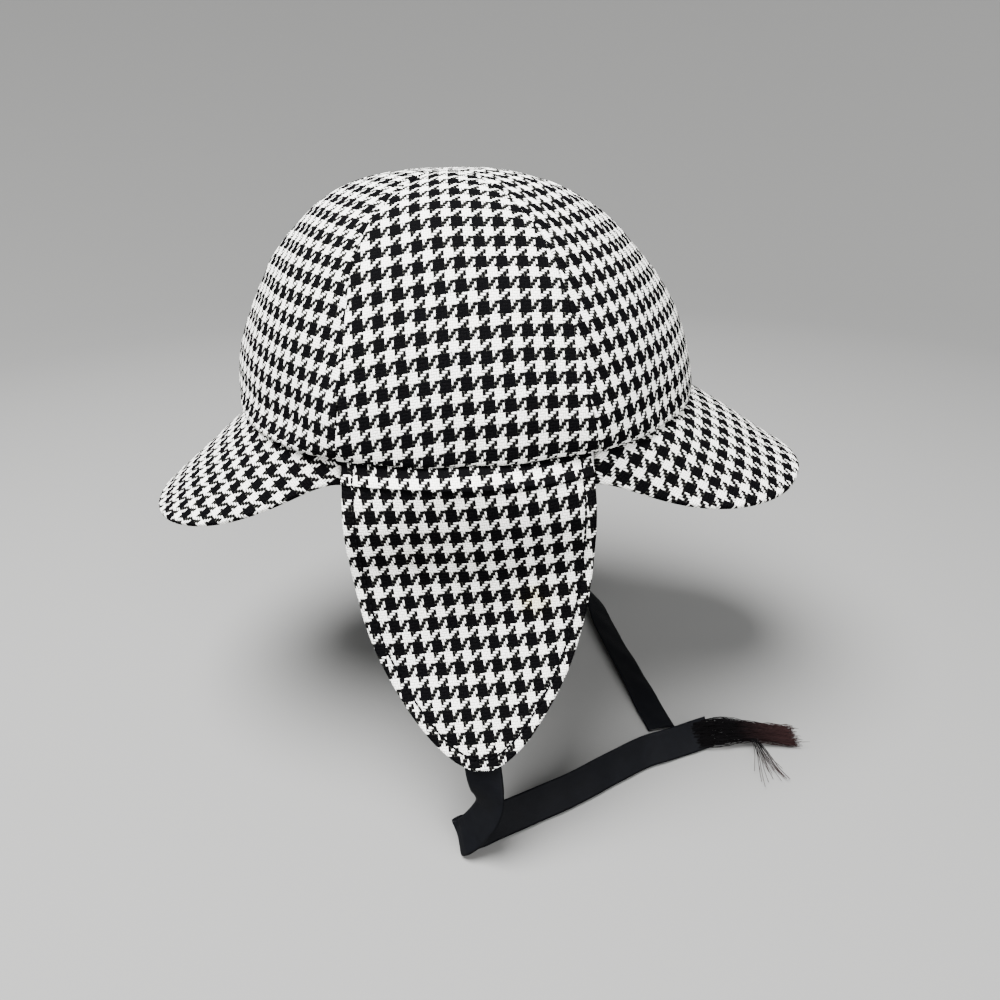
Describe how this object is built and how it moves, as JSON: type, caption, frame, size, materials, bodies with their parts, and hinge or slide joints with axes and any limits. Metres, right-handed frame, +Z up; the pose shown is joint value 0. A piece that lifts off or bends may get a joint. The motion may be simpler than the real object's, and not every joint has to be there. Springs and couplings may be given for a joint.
{
  "type": "deerstalker hat",
  "caption": "Deerstalker hat with a panelled round crown, a peak in front and behind, hanging ear flaps and ribbon ties, for wearing on the head.",
  "frame": {"origin": "centre of the head opening, on the level of the crown's rim", "axes": "+Z up along the crown, -Y towards the front peak, +X towards the wearer's left ear flap"},
  "size_m": [0.2522, 0.3129, 0.2665],
  "materials": {
    "houndstooth_cloth": "woven wool in a black and off-white houndstooth check",
    "ribbon": "black woven ribbon with a low sheen",
    "ribbon_fray": "loose dark threads"
  },
  "bodies": {
    "root": {"crown_panel_front_left": "houndstooth_cloth", "crown_panel_left": "houndstooth_cloth", "crown_panel_back_left": "houndstooth_cloth", "crown_panel_back_right": "houndstooth_cloth", "crown_panel_right": "houndstooth_cloth", "crown_panel_front_right": "houndstooth_cloth", "front_peak": "houndstooth_cloth", "back_peak": "houndstooth_cloth", "left_ear_flap": "houndstooth_cloth", "right_ear_flap": "houndstooth_cloth", "left_ribbon_tie": "ribbon", "right_ribbon_tie": "ribbon", "left_ribbon_fray": "ribbon_fray"}
  },
  "joints": []
}
